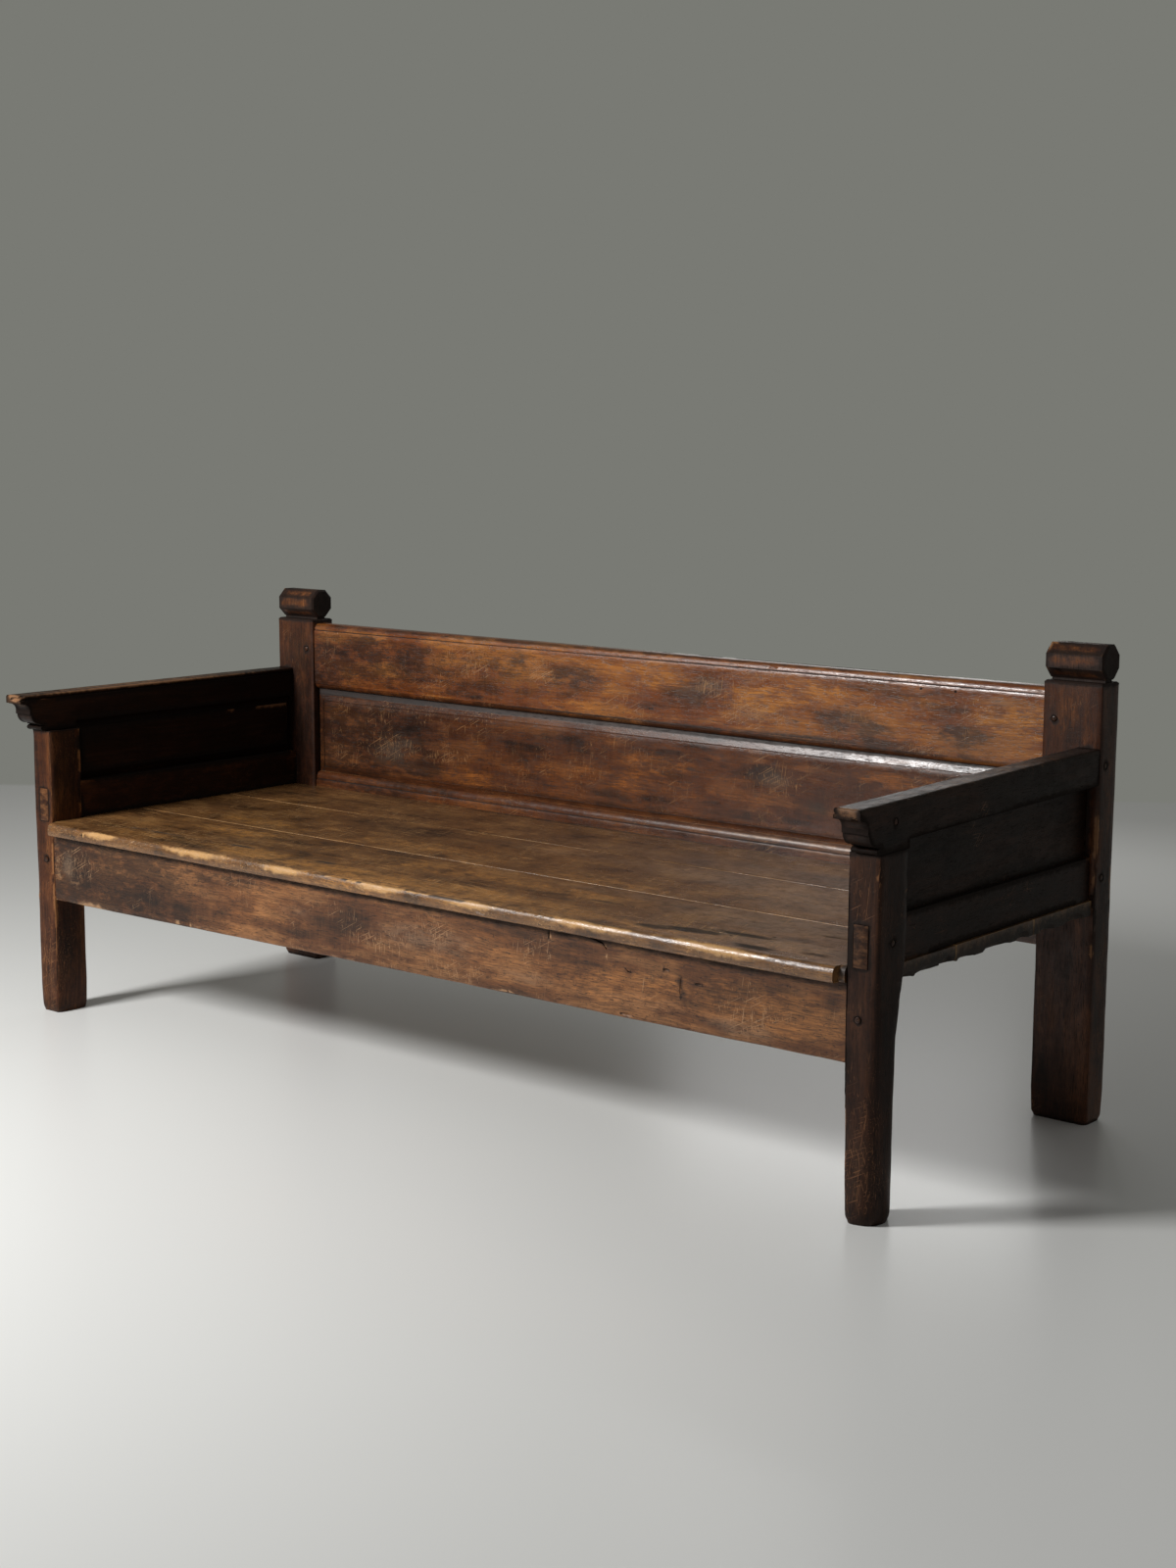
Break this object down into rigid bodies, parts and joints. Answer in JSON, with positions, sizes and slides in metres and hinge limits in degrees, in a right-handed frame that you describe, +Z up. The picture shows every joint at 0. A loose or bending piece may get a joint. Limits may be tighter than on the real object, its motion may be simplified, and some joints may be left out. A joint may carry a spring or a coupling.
{
  "type": "monks bench",
  "caption": "Long panelled wooden bench with a framed back, moulded arms on brackets, octagonal post finials and a plank seat.",
  "frame": {"origin": "on the floor below the middle of the bench's bounding box", "axes": "+Z up, +X along the bench to the right of someone who faces it, -Y out of its front"},
  "size_m": [2.19, 0.86, 0.9],
  "materials": {
    "post": "dark waxed walnut, worn at the corners",
    "rail": "waxed walnut, polished by wear on the mouldings",
    "panel": "waxed walnut, slightly hazed",
    "seat": "worn and polished walnut",
    "hidden": "dry unwaxed wood",
    "peg": "dark cleft pegs"
  },
  "bodies": {
    "root": {"front_post_left": "post", "front_post_right": "post", "rear_post_left": "post", "rear_post_right": "post", "arm_rail_left": "rail", "arm_rail_right": "rail", "side_panel_left": "panel", "side_panel_right": "panel", "side_rail_left": "rail", "side_rail_right": "rail", "peg_top_rail_left": "peg", "peg_top_rail_right": "peg", "peg_bottom_rail_left": "peg", "peg_bottom_rail_right": "peg", "peg_front_rail_left": "peg", "peg_front_rail_right": "peg", "peg_arm_front_left": "peg", "peg_arm_front_right": "peg", "peg_arm_rear_left": "peg", "peg_arm_rear_right": "peg", "peg_side_rail_front_left": "peg", "peg_side_rail_front_right": "peg", "peg_side_rail_rear_left": "peg", "peg_side_rail_rear_right": "peg", "front_rail": "rail", "back_top_rail": "rail", "back_panel": "panel", "back_bottom_rail": "rail", "seat_board_front": "seat", "seat_board_middle": "seat", "seat_board_back": "seat", "seat_bearer_left": "hidden", "seat_bearer_centre": "hidden", "seat_bearer_right": "hidden"}
  },
  "joints": []
}
